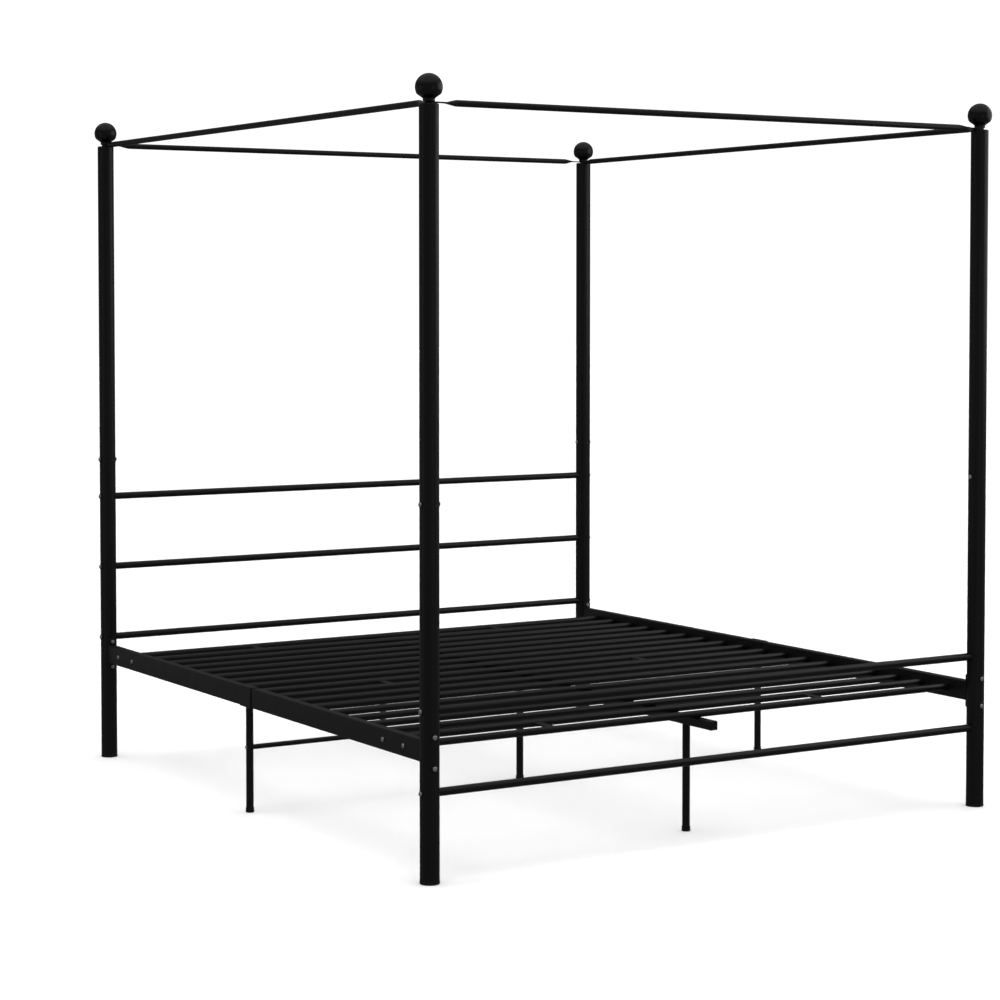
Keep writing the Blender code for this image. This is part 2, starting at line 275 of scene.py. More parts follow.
def box_tube(builder, width, height, wall, corner, low, high, matrix, worn=True):
    inner_corner = max(corner - wall, SMALLEST_CORNER)
    rings, wear = tube_rings(
        lambda inset, z: rounded_rectangle(width - 2 * inset, height - 2 * inset, corner - inset, z),
        lambda z: rounded_rectangle(width - 2 * wall, height - 2 * wall, inner_corner, z),
        low, high,
    )
    builder.shell(rings, wear if worn else None, True, matrix)


def coped_ring(radius, middle_z, reach, direction, sides):
    ring = circle(radius, middle_z, sides)
    for point in ring:
        point.z -= direction * math.sqrt(reach**2 - point.x**2)
    return ring


def coped_bar(builder, radius, span, neighbour_radius, sides, matrix):
    """A round tube cut at both ends to sit against a vertical tube, and worn along the cuts."""
    reach = neighbour_radius + GAP
    half = span / 2
    inner = radius - WALL
    steps = [(EDGE, 0, 1.0), (0, EDGE, 0.9), (0, WEAR_WIDTH, 0.0)]
    rings, wear = [], []
    for inset, back, amount in steps:
        rings.append(coped_ring(radius - inset, -half, reach + back, -1, sides))
        wear.append(amount)
    for inset, back, amount in reversed(steps):
        rings.append(coped_ring(radius - inset, half, reach + back, 1, sides))
        wear.append(amount)
    rings.append(coped_ring(inner, half, reach, 1, sides))
    rings.append(coped_ring(inner, -half, reach, -1, sides))
    builder.shell(rings, wear + [0.2, 0.2], True, matrix)


def bead_ring(place, out, up, radius):
    ring = []
    for k in range(BEAD_SIDES):
        angle = k * (2 * math.pi / BEAD_SIDES)
        ring.append(place + out * (radius * math.cos(angle)) + up * (radius * math.sin(angle)))
    return ring


def ripple(step):
    """How the bead's thickness swells and shrinks from ring to ring."""
    regular = BEAD_RIPPLE * math.sin(2 * math.pi * step / BEAD_STEPS)
    return 1 + regular + BEAD_UNEVENNESS * math.sin(BEAD_DRIFT * step)


def weld_run(builder, half_length, y, z, matrix):
    """A straight rippled bead along local x, tapered at both ends."""
    count = max(12, int(2 * half_length / BEAD_PITCH * BEAD_STEPS))
    rings = []
    for step in range(count + 1):
        share = 2 * step / count - 1
        taper = math.sqrt(max(1 - share**8, 0.05))
        place = Vector((share * half_length, y, z))
        radius = PLATE_BEAD_RADIUS * ripple(step) * taper
        rings.append(bead_ring(place, Vector((0, 0, 1)), Vector((0, 1, 0)), radius))
    builder.shell(rings, None, False, matrix)


def weld_bead(builder, outline, z, matrix):
    """A rippled bead that runs round a closed outline, half sunk in both walls."""
    total = sum((outline[k] - outline[k - 1]).length for k in range(len(outline)))
    count = max(24, int(total / BEAD_PITCH * BEAD_STEPS))
    lengths = [0.0]
    for k in range(len(outline)):
        lengths.append(lengths[-1] + (outline[(k + 1) % len(outline)] - outline[k]).length)
    rings = []
    index = 0
    for step in range(count):
        run = total * step / count
        while lengths[index + 1] < run:
            index += 1
        start, end = outline[index], outline[(index + 1) % len(outline)]
        share = (run - lengths[index]) / max(lengths[index + 1] - lengths[index], 1e-9)
        place = start.lerp(end, share)
        out = Vector((place.x, place.y, 0)).normalized()
        place.z = z
        rings.append(bead_ring(place, out, Vector((0, 0, 1)), LINK_BEAD_RADIUS * ripple(step)))
    builder.shell(rings, None, True, matrix)


# ---------------------------------------------------------------- materials

class Graph:
    """A material's node tree, with short calls for the nodes used here."""

    def __init__(self, name):
        self.material = bpy.data.materials.new(name)
        self.material.use_nodes = True
        self.tree = self.material.node_tree
        self.shader = self.tree.nodes["Principled BSDF"]
        self.place = self.node("ShaderNodeTexCoord").outputs["Object"]

    def node(self, kind, **settings):
        made = self.tree.nodes.new(kind)
        for key, value in settings.items():
            setattr(made, key, value)
        return made

    def link(self, source, target):
        self.tree.links.new(source, target)

    def noise(self, scale, detail=2.0, roughness=0.5, distortion=0.0, place=None):
        made = self.node("ShaderNodeTexNoise")
        made.inputs["Scale"].default_value = scale
        made.inputs["Detail"].default_value = detail
        made.inputs["Roughness"].default_value = roughness
        made.inputs["Distortion"].default_value = distortion
        self.link(place or self.place, made.inputs["Vector"])
        return made.outputs["Fac"]

    def stretched(self, x, y, z):
        made = self.node("ShaderNodeMapping")
        made.inputs["Scale"].default_value = (x, y, z)
        self.link(self.place, made.inputs["Vector"])
        return made.outputs["Vector"]

    def span(self, value, low, high, to_low, to_high):
        made = self.node("ShaderNodeMapRange", clamp=True)
        for key, number in zip(("From Min", "From Max", "To Min", "To Max"), (low, high, to_low, to_high)):
            made.inputs[key].default_value = number
        self.link(value, made.inputs["Value"])
        return made.outputs["Result"]

    def math(self, operation, first, second):
        made = self.node("ShaderNodeMath", operation=operation)
        for socket, value in zip(made.inputs, (first, second)):
            if isinstance(value, (int, float)):
                socket.default_value = value
            else:
                self.link(value, socket)
        return made.outputs[0]

    def ramp(self, value, stops):
        made = self.node("ShaderNodeValToRGB")
        elements = made.color_ramp.elements
        while len(elements) < len(stops):
            elements.new(1.0)
        for element, (position, color) in zip(elements, stops):
            element.position = position
            element.color = (*color, 1)
        self.link(value, made.inputs["Fac"])
        return made.outputs["Color"]

    def mixed(self, amount, first, second):
        made = self.node("ShaderNodeMix", data_type="RGBA")
        self.link(amount, made.inputs["Factor"])
        for socket, value in ((made.inputs["A"], first), (made.inputs["B"], second)):
            if isinstance(value, tuple):
                socket.default_value = (*value, 1)
            else:
                self.link(value, socket)
        return made.outputs["Result"]

    def attribute(self, name):
        return self.node("ShaderNodeAttribute", attribute_name=name).outputs["Fac"]

    def bumped(self, height, distance, strength=1.0, normal=None):
        made = self.node("ShaderNodeBump")
        made.inputs["Distance"].default_value = distance
        made.inputs["Strength"].default_value = strength
        self.link(height, made.inputs["Height"])
        if normal is not None:
            self.link(normal, made.inputs["Normal"])
        return made.outputs["Normal"]

    def finish(self, color, roughness, normal):
        self.link(color, self.shader.inputs["Base Color"])
        self.link(roughness, self.shader.inputs["Roughness"])
        self.link(normal, self.shader.inputs["Normal"])
        return self.material


# Noise scales are in features per metre. Each is followed by its detail and roughness. Depths are in metres.
PEEL_SCALE = 520.0
PEEL_DEPTH = 0.00011
GRAIN_SCALE = 2100.0
GRAIN_DEPTH = 0.00002
DUST_SCALE = 1250.0
DUST_COLOR = (0.075, 0.072, 0.068)
CHIP_SCALE = 340.0
CHIP_STRENGTH = 0.34
CHIP_COLOR = (0.085, 0.083, 0.080)
CHIP_GLOSS = 0.2
ZINC_STOPS = ((0.30, (0.62, 0.63, 0.64)), (0.55, (0.74, 0.75, 0.76)), (0.75, (0.82, 0.82, 0.81)))
ZINC_SCALE = 900.0
GRIME_COLOR = (0.30, 0.29, 0.27)
SCRATCH_SCALE = 1500.0
SCRATCH_DEPTH = 0.00002
PLASTIC_STOPS = ((0.3, (0.0085, 0.0085, 0.009)), (0.7, (0.014, 0.014, 0.0145)))
PLASTIC_GRAIN_SCALE = 1700.0
PLASTIC_GRAIN_DEPTH = 0.00005
FLOOR_DUST_HEIGHT = 0.009
FLOOR_DUST_COLOR = (0.06, 0.058, 0.055)
WASHER_STOPS = ((0.3, (0.004, 0.004, 0.0042)), (0.72, (0.0085, 0.0085, 0.009)))
WASHER_GRAIN_SCALE = 1900.0
WASHER_GRAIN_DEPTH = 0.00003


def powder_coat(name, dark, light, smooth, rough):
    """Satin black powder coat with orange peel, a fine grain, faint clouds, dust and worn edges."""
    g = Graph(name)
    clouds = g.noise(5.5, 3.0, 0.55, 0.4)
    peel = g.noise(PEEL_SCALE, 1.5, 0.45)
    grain = g.noise(GRAIN_SCALE, 1.0, 0.5)
    dust = g.span(g.noise(DUST_SCALE, 2.0, 0.6), 0.66, 0.80, 0.0, 1.0)
    dust_area = g.span(g.noise(9.0, 3.0, 0.6), 0.50, 0.78, 0.0, 0.55)
    color = g.ramp(clouds, [(0.25, dark), (0.75, light)])
    color = g.mixed(g.math("MULTIPLY", dust, dust_area), color, DUST_COLOR)
    chips = g.span(g.noise(CHIP_SCALE, 3.0, 0.7), 0.40, 0.62, 0.0, 1.0)
    worn = g.math("MULTIPLY", g.math("MULTIPLY", g.attribute("wear"), chips), CHIP_STRENGTH)
    color = g.mixed(worn, color, CHIP_COLOR)
    smudge = g.noise(24.0, 4.0, 0.62, 0.8)
    roughness = g.span(smudge, 0.3, 0.72, smooth, rough)
    roughness = g.math("ADD", roughness, g.span(peel, 0.3, 0.7, -0.025, 0.03))
    roughness = g.math("SUBTRACT", roughness, g.math("MULTIPLY", worn, CHIP_GLOSS))
    normal = g.bumped(grain, GRAIN_DEPTH, 0.6)
    normal = g.bumped(peel, PEEL_DEPTH, 0.75, normal)
    g.shader.inputs["Specular IOR Level"].default_value = 0.5
    return g.finish(color, roughness, normal)


def zinc_steel(name):
    """Zinc-plated steel: crystalline mottling, patches of grime and fine scratches."""
    g = Graph(name)
    color = g.ramp(g.noise(ZINC_SCALE, 3.0, 0.6), ZINC_STOPS)
    grime = g.span(g.noise(260.0, 4.0, 0.65), 0.56, 0.78, 0.0, 0.4)
    color = g.mixed(grime, color, GRIME_COLOR)
    scratches = g.noise(SCRATCH_SCALE, 2.0, 0.6, 0.0, g.stretched(1.0, 1.0, 0.15))
    roughness = g.span(g.noise(420.0, 3.0, 0.6), 0.3, 0.7, 0.30, 0.46)
    normal = g.bumped(scratches, SCRATCH_DEPTH, 0.7)
    g.shader.inputs["Metallic"].default_value = 1.0
    return g.finish(color, roughness, normal)


def moulded_plastic(name):
    """Black moulded plastic: spark-eroded grain, scuffs and grey dust near the floor."""
    g = Graph(name)
    color = g.ramp(g.noise(60.0, 3.0, 0.6), PLASTIC_STOPS)
    split = g.node("ShaderNodeSeparateXYZ")
    g.link(g.place, split.inputs[0])
    low = g.span(split.outputs["Z"], 0.0, FLOOR_DUST_HEIGHT, 0.65, 0.0)
    scuff = g.span(g.noise(700.0, 3.0, 0.7), 0.42, 0.66, 0.0, 1.0)
    color = g.mixed(g.math("MULTIPLY", low, scuff), color, FLOOR_DUST_COLOR)
    roughness = g.span(g.noise(180.0, 3.0, 0.6), 0.3, 0.7, 0.48, 0.62)
    normal = g.bumped(g.noise(PLASTIC_GRAIN_SCALE, 2.0, 0.6), PLASTIC_GRAIN_DEPTH, 0.8)
    return g.finish(color, roughness, normal)


def black_washer(name):
    """Black nylon washer: soft sheen, fine grain and a few lighter rubbed spots."""
    g = Graph(name)
    color = g.ramp(g.noise(300.0, 3.0, 0.6), WASHER_STOPS)
    roughness = g.span(g.noise(500.0, 2.0, 0.6), 0.3, 0.7, 0.45, 0.58)
    normal = g.bumped(g.noise(WASHER_GRAIN_SCALE, 1.0, 0.5), WASHER_GRAIN_DEPTH, 0.7)
    return g.finish(color, roughness, normal)


COAT = powder_coat("satin_black_powder_coat", (0.0062, 0.0062, 0.0066), (0.0092, 0.0092, 0.0096), 0.31, 0.41)
BALL_COAT = powder_coat("finial_black_coat", (0.0058, 0.0058, 0.0062), (0.0086, 0.0086, 0.009), 0.22, 0.31)
STEEL = zinc_steel("zinc_plated_steel")
PLASTIC = moulded_plastic("black_glide_plastic")
WASHER = black_washer("black_nylon_washer")


# ---------------------------------------------------------------- posts and finials

def upper_post(builder, matrix):
    """A tube with a rounded top plate, a hole for the finial's stud and a reduced spigot at its lower end."""
    bore = POST_RADIUS - POST_WALL
    spigot = bore - GAP
    low = JOINT_Z + GAP
    hole = STUD_RADIUS + STUD_CLEARANCE
    profile = [
        (hole, POST_TOP, 0.3),
        (POST_RADIUS - POST_SHOULDER - SHOULDER_FLAT, POST_TOP, 0.2),
    ]
    for step in range(SHOULDER_STEPS + 1):
        angle = math.pi / 2 * step / SHOULDER_STEPS
        profile.append((
            POST_RADIUS - POST_SHOULDER * (1 - math.sin(angle)),
            POST_TOP - POST_SHOULDER * (1 - math.cos(angle)),
            0.7,
        ))
    profile += [
        (POST_RADIUS, POST_TOP - POST_SHOULDER - WEAR_WIDTH, 0.0),
        (POST_RADIUS, low + WEAR_WIDTH, 0.0),
        (POST_RADIUS, low + EDGE, 0.8),
        (POST_RADIUS - 0.3 * EDGE, low + 0.3 * EDGE, 1.0),
        (POST_RADIUS - EDGE, low, 1.0),
        (spigot, low, 0.3),
        (spigot, JOINT_Z - SPIGOT_LENGTH + SPIGOT_LEAD, 0.3),
        (spigot - SPIGOT_LEAD_DEPTH, JOINT_Z - SPIGOT_LENGTH, 0.5),
        (spigot - POST_WALL, JOINT_Z - SPIGOT_LENGTH, 0.2),
        (spigot - POST_WALL, POST_TOP - TOP_PLATE, 0.0),
        (hole, POST_TOP - TOP_PLATE, 0.0),
    ]
    rings = [circle(radius, z) for radius, z, _ in profile]
    builder.shell(rings, [amount for _, _, amount in profile], True, matrix)


def finial(builder, node, matrix):
    """A spun steel ball on a short neck, with its stud underneath."""
    low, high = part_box(node)
    ball_radius = (high.x - low.x) / 2
    ball_z = high.z - ball_radius
    neck_bottom = POST_TOP + NECK_BOTTOM_ABOVE_POST
    neck_top = neck_bottom + NECK_HEIGHT
    cone_angle = -math.asin(BALL_CONE_DROP / ball_radius)
    profile = [
        (STUD_RADIUS - STUD_TIP, low.z, 0.0),
        (STUD_RADIUS, low.z + STUD_TIP, 0.0),
        (STUD_RADIUS, neck_bottom, 0.0),
        (NECK_RADIUS - EDGE, neck_bottom, 0.6),
        (NECK_RADIUS, neck_bottom + EDGE, 0.8),
        (NECK_RADIUS, neck_top - NECK_BLEND, 0.2),
        (NECK_RADIUS + 0.35 * NECK_BLEND, neck_top, 0.0),
    ]
    rim = (ball_radius * math.cos(cone_angle), ball_z + ball_radius * math.sin(cone_angle))
    start = (NECK_RADIUS + NECK_BLEND, neck_top + CONE_RISE)
    for step in range(1, CONE_STEPS):
        share = step / CONE_STEPS
        profile.append((start[0] + (rim[0] - start[0]) * share, start[1] + (rim[1] - start[1]) * share, 0.0))
    first_angle = cone_angle + RIM_ANGLE
    for step in range(BALL_STEPS):
        angle = first_angle + (math.pi / 2 - first_angle) * step / BALL_STEPS
        profile.append((ball_radius * math.cos(angle), ball_z + ball_radius * math.sin(angle), 0.0))
    profile.append((POLE_RADIUS, high.z - POLE_DROP, 0.0))
    rings = [circle(radius, z) for radius, z, _ in profile]
    builder.shell(rings, [amount for _, _, amount in profile], False, matrix)


def make_posts():
    for end, y_sign in ENDS.items():
        for side, x_sign in SIDES.items():
            place = at(x_sign * POST_X, y_sign * POST_Y, 0)
            label = f"{end}_{side}"
            lower = Builder()
            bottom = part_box(f"lower_post_{label}")[0].z
            round_tube(lower, POST_RADIUS, bottom, JOINT_Z, POST_WALL, ROUND_SIDES, place)
            piece(f"lower_post_{label}_tube", lower, COAT, "powder_coat", f"lower_post_{label}")
            upper = Builder()
            upper_post(upper, place)
            piece(f"upper_post_{label}_tube", upper, COAT, "powder_coat", f"upper_post_{label}")
            ball = Builder()
            finial(ball, f"finial_{label}", place)
            piece(f"finial_{label}_ball", ball, BALL_COAT, "finial_coat", f"finial_{label}")


# ---------------------------------------------------------------- canopy rods

def pressed_ring(radius, half_height, lift, z, sides):
    """A tube's outline pressed flat to half_height at its full girth: two flats and two round edges."""
    flat = math.pi * (radius - half_height) / 2
    edge = math.pi * half_height
    girth = 2 * math.pi * radius
    ring = []
    for k in range(sides):
        run = girth * (k + 0.5) / sides
        side = 1 if run < girth / 2 else -1
        run = run % (girth / 2)
        if run < flat:
            x, y = run, half_height
        elif run < flat + edge:
            angle = (run - flat) / half_height
            x, y = flat + half_height * math.sin(angle), half_height * math.cos(angle)
        else:
            x, y = 2 * flat + edge - run, -half_height
        ring.append(Vector((side * x, side * y + lift, z)))
    return ring


def rod_rings(radius, pressed_half, lift, half_span, taper):
    """Rings from one pressed end to the other: rounded tip, flat, smooth swell and round."""
    start, finish = taper
    stations = [(-TONGUE_TIP, 0.0), (-TONGUE_TIP + TONGUE_EDGE, 0.0), (start * 0.4, 0.0), (start, 0.0)]
    for step in range(1, TAPER_STEPS + 1):
        stations.append((start + (finish - start) * step / TAPER_STEPS, step / TAPER_STEPS))
    width = math.pi * (radius - pressed_half) / 2 + pressed_half
    rings = []
    for number, (inset, share) in enumerate(stations):
        swell = share * share * (3 - 2 * share)
        half_height = pressed_half + (radius - pressed_half) * swell
        if number == 0:
            half_height *= TONGUE_EDGE_SHARE
        ring = pressed_ring(radius, half_height, lift * (1 - swell), inset - half_span, BAR_SIDES)
        if inset < 0:
            for point in ring:
                point.z += width - math.sqrt(max(width**2 - point.x**2, 0))
        rings.append(ring)
    mirrored = [[Vector((point.x, point.y, -point.z)) for point in ring] for ring in reversed(rings)]
    return rings + mirrored


def canopy_rod(builder, half_span, lift, taper, matrix):
    outer = rod_rings(ROD_RADIUS, TONGUE_HALF, lift, half_span, taper)
    inner = rod_rings(ROD_RADIUS - ROD_WALL, TONGUE_SLIT, lift, half_span, taper)
    wear = [1.0, 0.7, 0.12, 0.1] + [0.0] * TAPER_STEPS
    wear = wear + wear[::-1]
    builder.shell(outer + inner[::-1], wear + [0.0] * len(inner), True, matrix)


def make_canopy_rods():
    rod_z = middle("canopy_rod_left").z
    for side, x_sign in SIDES.items():
        node = f"canopy_rod_{side}"
        lift = POST_TOP + GAP + TONGUE_HALF - rod_z
        rod = Builder()
        canopy_rod(rod, POST_Y, lift, SIDE_ROD_TAPER, at(x_sign * POST_X, 0, rod_z, ALONG_Y))
        piece(f"{node}_tube", rod, COAT, "powder_coat", node)
    for end, y_sign in ENDS.items():
        node = f"canopy_rod_{end}"
        lift = POST_TOP + 2 * GAP + 3 * TONGUE_HALF - rod_z
        rod = Builder()
        canopy_rod(rod, POST_X, lift, END_ROD_TAPER, at(0, y_sign * POST_Y, rod_z, ALONG_X))
        piece(f"{node}_tube", rod, COAT, "powder_coat", node)


# ---------------------------------------------------------------- end bars, rails and sleeves

def make_end_bars():
    for node in CAD_NODES:
        if not node.startswith(("head_bar_", "foot_bar_")):
            continue
        radius = size(node).z / 2
        centre = middle(node)
        bar = Builder()
        coped_bar(bar, radius, 2 * POST_X, POST_RADIUS, BAR_SIDES, at(0, centre.y, centre.z, ALONG_X))
        piece(f"{node}_tube", bar, COAT, "powder_coat", node)


def plate_rings(low, high):
    rings = []
    for inset, z in ((EDGE, low), (0, low + EDGE), (0, high - EDGE), (EDGE, high)):
        width, height = PLATE_WIDTH - 2 * inset, PLATE_HEIGHT - 2 * inset
        rings.append(rounded_rectangle(width, height, PLATE_CORNER - inset, z))
    return rings


def make_side_rails():
    for side, x_sign in SIDES.items():
        for end, y_sign in ENDS.items():
            node = f"side_rail_{side}_{end}"
            low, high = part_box(node)
            reach = max(abs(low.y), abs(high.y))
            start = min(abs(low.y), abs(high.y))
            turn = ALONG_Y if y_sign > 0 else ALONG_Y @ Matrix.Rotation(math.pi, 4, "Y")
            matrix = at(x_sign * POST_X, 0, RAIL_Z, turn)
            plate_back = reach - PLATE_THICKNESS
            rail = Builder()
            box_tube(rail, RAIL_WIDTH, RAIL_HEIGHT, RAIL_WALL, RAIL_CORNER, start, plate_back + 0.001, matrix)
            rail.shell(plate_rings(plate_back, reach), [1.0, 0.8, 0.8, 1.0], False, matrix)
            for edge in (-1, 1):
                weld_run(rail, RAIL_WIDTH / 2 - RAIL_CORNER / 2, edge * RAIL_HEIGHT / 2, plate_back, matrix)
            piece(f"{node}_tube", rail, COAT, "powder_coat", node)
        node = f"rail_sleeve_{side}"
        low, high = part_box(node)
        sleeve = Builder()
        box_tube(
            sleeve, high.x - low.x, high.z - low.z, SLEEVE_WALL, RAIL_CORNER + SLEEVE_WALL, low.y, high.y,
            at(x_sign * POST_X, 0, RAIL_Z, ALONG_Y), False,
        )
        piece(f"{node}_box", sleeve, COAT, "powder_coat", node)


# ---------------------------------------------------------------- slats

def slat(builder, y):
    round_tube(builder, SLAT_RADIUS, -SLAT_HALF, SLAT_HALF, WALL, BAR_SIDES, at(0, y, RAIL_Z, ALONG_X))


def slat_link(builder, x, y, pitch):
    """A flat bar welded between two slats, with a small bead at each end."""
    gap = pitch / 2 - SLAT_RADIUS
    matrix = at(x, y, RAIL_Z, ALONG_Y)
    ends = (-gap - LINK_BITE, gap + LINK_BITE)
    rings = [rounded_rectangle(LINK_WIDTH, LINK_HEIGHT, LINK_CORNER, z) for z in ends]
    builder.shell(rings, [0.3, 0.3], False, matrix)
    outline = rounded_rectangle(LINK_WIDTH, LINK_HEIGHT, LINK_CORNER, 0)
    for sign in (-1, 1):
        weld_bead(builder, outline, sign * (gap + LINK_BEAD_OFFSET), matrix)


def make_slats():
    for node in CAD_NODES:
        if not node.startswith("slat_"):
            continue
        low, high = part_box(node)
        made = Builder()
        if node.startswith("slat_pair_"):
            pitch = high.y - low.y - 2 * SLAT_RADIUS
            centre = (low.y + high.y) / 2
            for sign in (-1, 1):
                slat(made, centre + sign * pitch / 2)
                slat_link(made, sign * POST_X / 2, centre, pitch)
        else:
            slat(made, (low.y + high.y) / 2)
        piece(f"{node}_tube", made, COAT, "powder_coat", node)


# ---------------------------------------------------------------- centre support and glides

def end_plug(builder, width, outward, matrix):
    """A moulded plug with a rounded rim, pressed into the end of a square tube."""
    inner = width - 2 * RAIL_WALL - 2 * GAP
    profile = [(inner - PLUG_LEAD, -PLUG_LENGTH), (inner, -PLUG_LENGTH + PLUG_LEAD), (inner, GAP)]
    profile += [(width - inset, z) for inset, z in PLUG_RIM]
    rings = []
    for across, z in profile:
        corner = max(RAIL_CORNER * across / width, SMALLEST_PLUG_CORNER)
        rings.append(rounded_rectangle(across, across, corner, z * outward))
    builder.shell(rings, None, False, matrix)


def make_centre_support():
    node = "centre_beam"
    low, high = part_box(node)
    side_length = high.z - low.z
    centre = middle(node)
    beam = Builder()
    matrix = at(centre.x, 0, centre.z, ALONG_Y)
    box_tube(beam, side_length, side_length, RAIL_WALL, RAIL_CORNER, low.y, high.y, matrix)
    piece("centre_beam_tube", beam, COAT, "powder_coat", node)
    for end, y_sign in ENDS.items():
        plug = Builder()
        reach = high.y if y_sign > 0 else low.y
        end_plug(plug, side_length, y_sign, at(0, reach, centre.z, ALONG_Y))
        piece(f"centre_beam_plug_{end}", plug, PLASTIC, "glide_plastic")
    for node in CAD_NODES:
        if node.endswith("_glide") or not node.startswith(("side_leg_", "centre_leg_")):
            continue
        low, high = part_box(node)
        leg = Builder()
        place = middle(node)
        round_tube(leg, size(node).x / 2, low.z, high.z, WALL, BAR_SIDES, at(place.x, place.y, 0))
        piece(f"{node}_tube", leg, COAT, "powder_coat", node)
    leg_radius = size("centre_leg_middle").x / 2
    for side, x_sign in SIDES.items():
        node = f"stretcher_{side}"
        stretcher = Builder()
        radius = size(node).z / 2
        matrix = at(x_sign * POST_X / 2, 0, middle(node).z, ALONG_X)
        coped_bar(stretcher, radius, POST_X, leg_radius, SMALL_SIDES, matrix)
        piece(f"{node}_tube", stretcher, COAT, "powder_coat", node)


def post_glide(builder, node, matrix):
    """A rounded foot under the post's end, with a ribbed plug inside the post."""
    radius = size(node).x / 2
    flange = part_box("lower_post_foot_left")[0].z - GAP
    plug = POST_RADIUS - POST_WALL - GAP
    valley = plug - RIB_DEPTH
    profile = [(radius - inset, z) for inset, z in POST_GLIDE_FOOT]
    profile += [(radius, flange - GLIDE_EDGE), (radius - GLIDE_EDGE, flange), (plug, flange)]
    for rib in range(GLIDE_RIBS):
        base = flange + RIB_MARGIN + (POST_GLIDE_PLUG - 2 * RIB_MARGIN) * rib / GLIDE_RIBS
        profile += [(valley, base), (plug, base + RIB_RISE), (valley, base + 2 * RIB_RISE)]
    profile.append((plug - PLUG_TAPER, flange + POST_GLIDE_PLUG))
    rings = [circle(ring_radius, z) for ring_radius, z in profile]
    builder.shell(rings, None, False, matrix)


def leg_glide(builder, node, matrix):
    """A cap round the leg's end, with a groove near its foot and a slightly hollow underside."""
    radius = size(node).x / 2
    cup = size("centre_leg_middle").x / 2 + GAP
    top = size(node).z
    profile = [(cup - 0.003, 0.0003)]
    profile += [(radius - inset, z) for inset, z in LEG_GLIDE_FOOT]
    profile += [
        (radius, top - 0.0009), (radius - 0.0005, top), (cup + 0.0003, top), (cup, top - 0.0004),
        (cup, LEG_GLIDE_FLOOR),
    ]
    rings = [circle(ring_radius, z, BAR_SIDES) for ring_radius, z in profile]
    builder.shell(rings, None, False, matrix)


def make_glides():
    for node in CAD_NODES:
        centre = middle(node)
        made = Builder()
        if node.startswith("post_glide_"):
            post_glide(made, node, at(centre.x, centre.y, 0))
        elif node.endswith("_glide"):
            leg_glide(made, node, at(centre.x, centre.y, 0))
        else:
            continue
        piece(f"{node}_moulding", made, PLASTIC, "glide_plastic", node)


# ---------------------------------------------------------------- fasteners

FASTENER_SIDES = 36
HEAD_RADIUS = 0.0064
HEAD_HEIGHT = 0.0036
HEAD_EDGE = 0.0002
HEAD_STEPS = 7
# The upright rim's share of a head's height, and the flat top's share of its radius.
HEAD_RIM = 0.12
HEAD_FLAT = 0.56
HEX_HALF = 0.0020
HEX_DEPTH = 0.0019
HEX_CORNER = 1.14
HEX_MOUTH = 1.27
SOCKET_CONE = 0.0004
BOLT_RADIUS = 0.0030
BOLT_HOLE = 0.0033
SHANK_LENGTH = 0.006
WASHER_RADIUS = 0.0092
WASHER_LIFT = 0.0010
NUT_WASHER_RADIUS = 0.0080
NUT_WASHER_LIFT = 0.0009
SLAT_WASHER_RADIUS = 0.0076
SLAT_WASHER_LIFT = 0.0008
NUT_HALF = 0.0055
NUT_HEIGHT = 0.0050
NUT_LIFT = 0.0010
NUT_CHAMFER = 0.0004
NUT_BORE = 0.0031
BOLT_END = 0.0085
THREAD_PITCH = 0.0010
THREAD_DEPTH = 0.00045
THREAD_STEPS = 8
THREAD_FADE = 0.0008
TIP_CUT = 0.0007
LEG_SCREW_SCALE = 0.8
LEG_SCREW_BITE = 0.0004


def hexagon(half, z, limit=1.0):
    """A hexagon's outline with points at even angles, cut back to a circle of that radius."""
    ring = []
    for k in range(FASTENER_SIDES):
        angle = 2 * math.pi * k / FASTENER_SIDES
        from_flat = (angle % (math.pi / 3)) - math.pi / 6
        radius = min(half / math.cos(from_flat), limit)
        ring.append(Vector((radius * math.cos(angle), radius * math.sin(angle), z)))
    return ring


def button_head(builder, matrix, scale=1.0):
    """A domed head with a hexagon socket. Local z points out of the surface."""
    radius, height = HEAD_RADIUS * scale, HEAD_HEIGHT * scale
    half, depth = HEX_HALF * scale, HEX_DEPTH * scale
    flat, rim = HEAD_FLAT * radius, HEAD_RIM * height
    profile = [(radius - HEAD_EDGE, 0), (radius, HEAD_EDGE), (radius, rim)]
    for step in range(1, HEAD_STEPS + 1):
        angle = math.pi / 2 * step / HEAD_STEPS
        profile.append((flat + (radius - flat) * math.cos(angle), rim + (height - rim) * math.sin(angle)))
    profile.append((HEX_MOUTH * half, height))
    rings = [circle(ring_radius, z, FASTENER_SIDES) for ring_radius, z in profile]
    rings.append(hexagon(half, height - HEAD_EDGE, HEX_CORNER * half))
    rings.append(hexagon(half, height - depth, HEX_CORNER * half))
    rings.append(circle(0.5 * half, height - depth - SOCKET_CONE * scale, FASTENER_SIDES))
    builder.shell(rings, None, False, matrix)


def saddle_washer(builder, matrix, bend_radius, lift, radius):
    """A ring, flat on top. A bend radius hollows it to sit on a tube whose axis runs along local y."""
    rings = []
    for ring_radius, top in (
        (radius, None), (radius, lift * 0.55), (radius - 0.0003, lift * 0.85), (radius - 0.0008, lift),
        (BOLT_HOLE, lift), (BOLT_HOLE, None),
    ):
        ring = circle(ring_radius, top or 0, FASTENER_SIDES)
        if top is None and bend_radius:
            for point in ring:
                point.z = math.sqrt(bend_radius**2 - point.x**2) - bend_radius
        rings.append(ring)
    builder.shell(rings, None, True, matrix)


